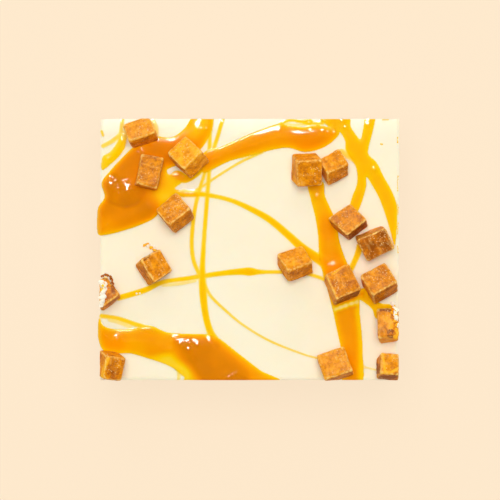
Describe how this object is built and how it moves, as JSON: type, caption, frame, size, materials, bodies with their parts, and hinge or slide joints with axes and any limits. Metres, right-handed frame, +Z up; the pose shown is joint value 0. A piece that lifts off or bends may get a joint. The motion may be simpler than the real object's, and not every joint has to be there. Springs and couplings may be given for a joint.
{
  "type": "blondie slice",
  "caption": "Oblong cut slice of baked blondie with a white-chocolate layer, poured caramel and fudge cubes on top.",
  "frame": {"origin": "middle of the slice's footprint at its underside", "axes": "+X along the long side, +Y across the slice to its far edge, +Z up out of the topping"},
  "size_m": [0.0807, 0.07, 0.0343],
  "materials": {
    "baked_crumb": null,
    "white_chocolate": "smooth set white chocolate, cream, with a soft satin gloss",
    "caramel": "poured caramel, glossy and translucent, yellow where thin and orange where thick",
    "fudge": "grainy butter fudge, tan on top and brown at the sides"
  },
  "bodies": {
    "root": {"blondie_body": "baked_crumb", "white_chocolate_topping": "white_chocolate", "fudge_01": "fudge", "fudge_02": "fudge", "fudge_03": "fudge", "fudge_04": "fudge", "fudge_05": "fudge", "fudge_06": "fudge", "fudge_07": "fudge", "fudge_08": "fudge", "fudge_09": "fudge", "fudge_10": "fudge", "fudge_11": "fudge", "fudge_12": "fudge", "fudge_13": "fudge", "fudge_14": "fudge", "fudge_15": "fudge", "fudge_16": "fudge", "fudge_17": "fudge"}
  },
  "joints": []
}
